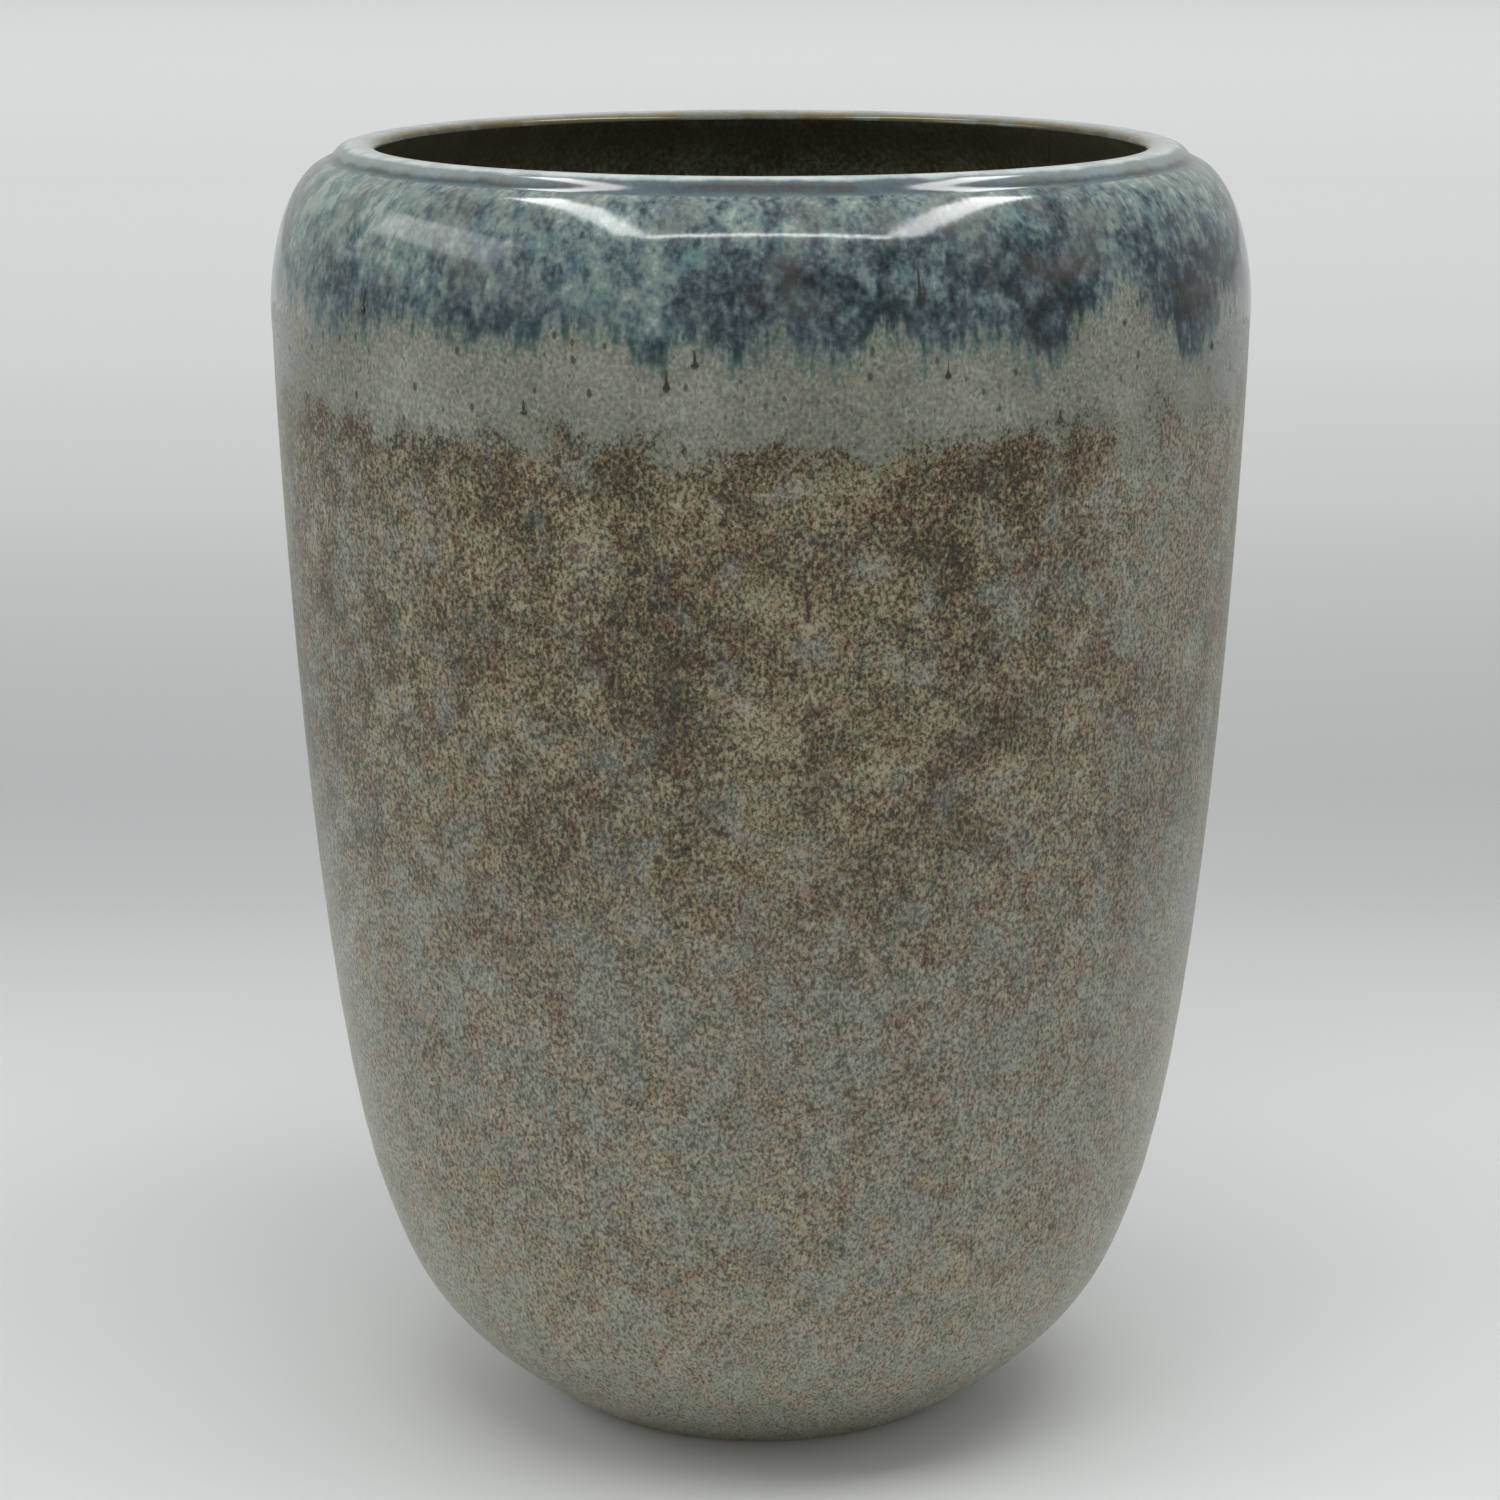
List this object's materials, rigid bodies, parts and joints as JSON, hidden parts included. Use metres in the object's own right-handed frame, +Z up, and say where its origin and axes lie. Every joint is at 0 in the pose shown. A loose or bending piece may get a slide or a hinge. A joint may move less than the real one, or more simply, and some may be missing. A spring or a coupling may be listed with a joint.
{
  "type": "stoneware vase",
  "caption": "Tall wide-mouthed stoneware vase with a full round shoulder, raised round lip, mottled grey-brown glaze and a runny blue-green shoulder band.",
  "frame": {"origin": "centre of the foot ring's resting face, on the vase's axis", "axes": "+Z up along the vase's axis of revolution, +X and +Y level"},
  "size_m": [0.2256, 0.2256, 0.3],
  "materials": {
    "fired_clay": "bare fired stoneware, dry and slightly gritty",
    "mottled_glaze": "satin-gloss grey glaze with dense fine brown mottling",
    "blue_green_glaze": "glossy runny blue-green glaze, mottled slate, turquoise and purple-brown",
    "lip_glaze": "glossy glaze that breaks to olive brown over the edges",
    "liner_glaze": "dark olive-brown speckled satin glaze",
    "underside_glaze": "thin uneven brown-grey glaze",
    "run_glaze": "thick glossy dark blue-brown glaze"
  },
  "bodies": {
    "root": {"stoneware_body": "fired_clay", "base_glaze": "mottled_glaze", "shoulder_glaze": "blue_green_glaze", "lip_glaze": "lip_glaze", "liner_glaze": "liner_glaze", "underside_glaze": "underside_glaze", "glaze_runs": "run_glaze"}
  },
  "joints": []
}
